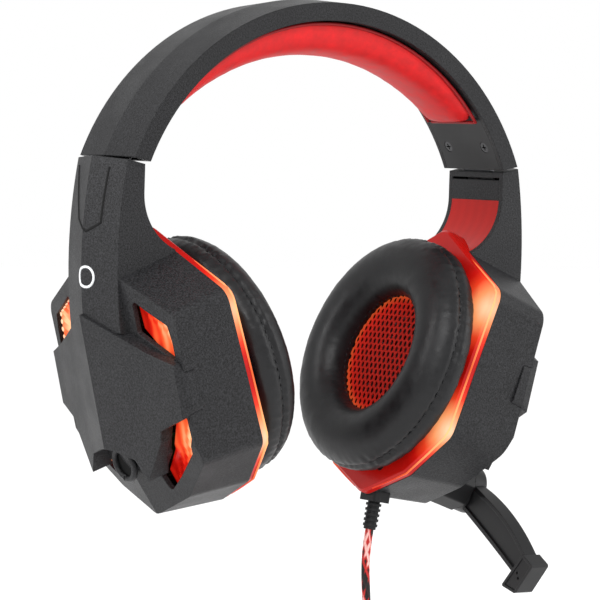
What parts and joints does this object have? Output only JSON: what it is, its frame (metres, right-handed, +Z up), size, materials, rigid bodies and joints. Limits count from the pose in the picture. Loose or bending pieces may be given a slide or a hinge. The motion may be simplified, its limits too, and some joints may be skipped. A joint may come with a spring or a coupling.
{
  "type": "gaming headset",
  "caption": "Over-ear gaming headset: padded arched band, sliding faceted ear cups with lit windows, swing-down boom microphone and a braided cord with a plug.",
  "frame": {"origin": "underside of the headband pad at the crown, where a head or a stand carries the headset", "axes": "+Z up, +X toward the wearer's left (microphone and cord side), -Y the wearer's front"},
  "size_m": [0.2068, 0.1005, 0.357],
  "materials": {
    "shell_plastic": "fine moulded grain",
    "band_plastic": "fine moulded grain",
    "inner_plastic": "satin",
    "boom_plastic": "satin",
    "light_guide": "translucent, ribbed",
    "red_clear": "translucent red",
    "steel": "drawn strip",
    "mesh_fabric": "open knitted mesh",
    "cone_film": "thin film",
    "magnet": "plated",
    "black_leatherette": "soft coated fabric",
    "red_pad": "smooth soft coated foam",
    "board": "solder mask",
    "led": "clear dome",
    "screw_black": "blackened",
    "wire_rubber": "matt",
    "relief_rubber": "matt",
    "cord_braid": "braided sleeve",
    "nickel": "bright"
  },
  "bodies": {
    "headband": {"headband_shell": "band_plastic", "headband_liner": "inner_plastic", "headband_spring": "steel", "headband_pad": "red_pad", "headband_screws": "screw_black", "crossover_wire": "wire_rubber"},
    "left_cup": {"left_housing": "shell_plastic", "left_shield": "shell_plastic", "left_light_guide": "light_guide", "left_bezel": "red_clear", "left_arm_cap": "shell_plastic", "left_arm_window": "red_clear", "left_slider": "steel", "left_slider_screws": "steel", "left_baffle": "inner_plastic", "left_speaker_mesh": "mesh_fabric", "left_driver_frame": "inner_plastic", "left_driver_cone": "cone_film", "left_driver_magnet": "magnet", "left_cushion": "black_leatherette", "left_led_board": "board", "left_leds": "led", "left_housing_screws": "screw_black", "sound_board": "board", "mic_hub": "inner_plastic", "mic_pin": "screw_black", "strain_relief": "relief_rubber", "cord": "cord_braid", "cord_coil": "cord_braid", "cord_tie": "relief_rubber", "cord_tail": "cord_braid", "usb_plug": "inner_plastic", "usb_shell": "nickel"},
    "right_cup": {"right_housing": "shell_plastic", "right_shield": "shell_plastic", "right_light_guide": "light_guide", "right_bezel": "red_clear", "right_arm_cap": "shell_plastic", "right_arm_window": "red_clear", "right_slider": "steel", "right_slider_screws": "steel", "right_baffle": "inner_plastic", "right_speaker_mesh": "mesh_fabric", "right_driver_frame": "inner_plastic", "right_driver_cone": "cone_film", "right_driver_magnet": "magnet", "right_cushion": "black_leatherette", "right_led_board": "board", "right_leds": "led", "right_housing_screws": "screw_black"},
    "mic": {"mic_boom": "boom_plastic", "mic_head": "boom_plastic", "mic_capsule": "nickel", "mic_cap": "inner_plastic"}
  },
  "joints": [
    {"name": "left_slide", "type": "slide", "parent": "headband", "child": "left_cup", "axis": [0.454, 0, -0.891], "range_m": [0, 0.02]},
    {"name": "right_slide", "type": "slide", "parent": "headband", "child": "right_cup", "axis": [-0.454, 0, -0.891], "range_m": [0, 0.02]},
    {"name": "mic_swing", "type": "hinge", "parent": "left_cup", "child": "mic", "pos_m": [0.08322, 0, -0.17476], "axis": [-0.9397, 0, 0.342], "range_deg": [-25, 65]}
  ]
}
